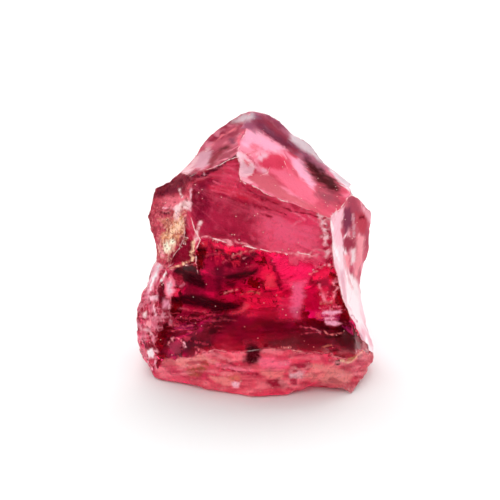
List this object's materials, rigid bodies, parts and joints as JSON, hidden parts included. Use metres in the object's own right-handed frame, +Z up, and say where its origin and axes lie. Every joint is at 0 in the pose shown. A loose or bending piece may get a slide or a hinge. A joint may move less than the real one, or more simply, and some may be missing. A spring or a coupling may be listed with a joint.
{
  "type": "raw garnet crystal",
  "caption": "Broken lump of clear red pyrope garnet with concave glossy fracture faces, a satin upper face and a crusted knob, standing on a flat fracture.",
  "frame": {"origin": "centre of the footprint's bounding box, on the flat fracture the crystal stands on", "axes": "+Z up through the peak, +X to the right and -Y out of the scooped front face"},
  "size_m": [0.0118, 0.0112, 0.0118],
  "materials": {
    "garnet": "clear red garnet, glossy on the lower front, satin on the upper front, frosted and crusted on the left"
  },
  "bodies": {
    "root": {"pyrope_crystal": "garnet"}
  },
  "joints": []
}
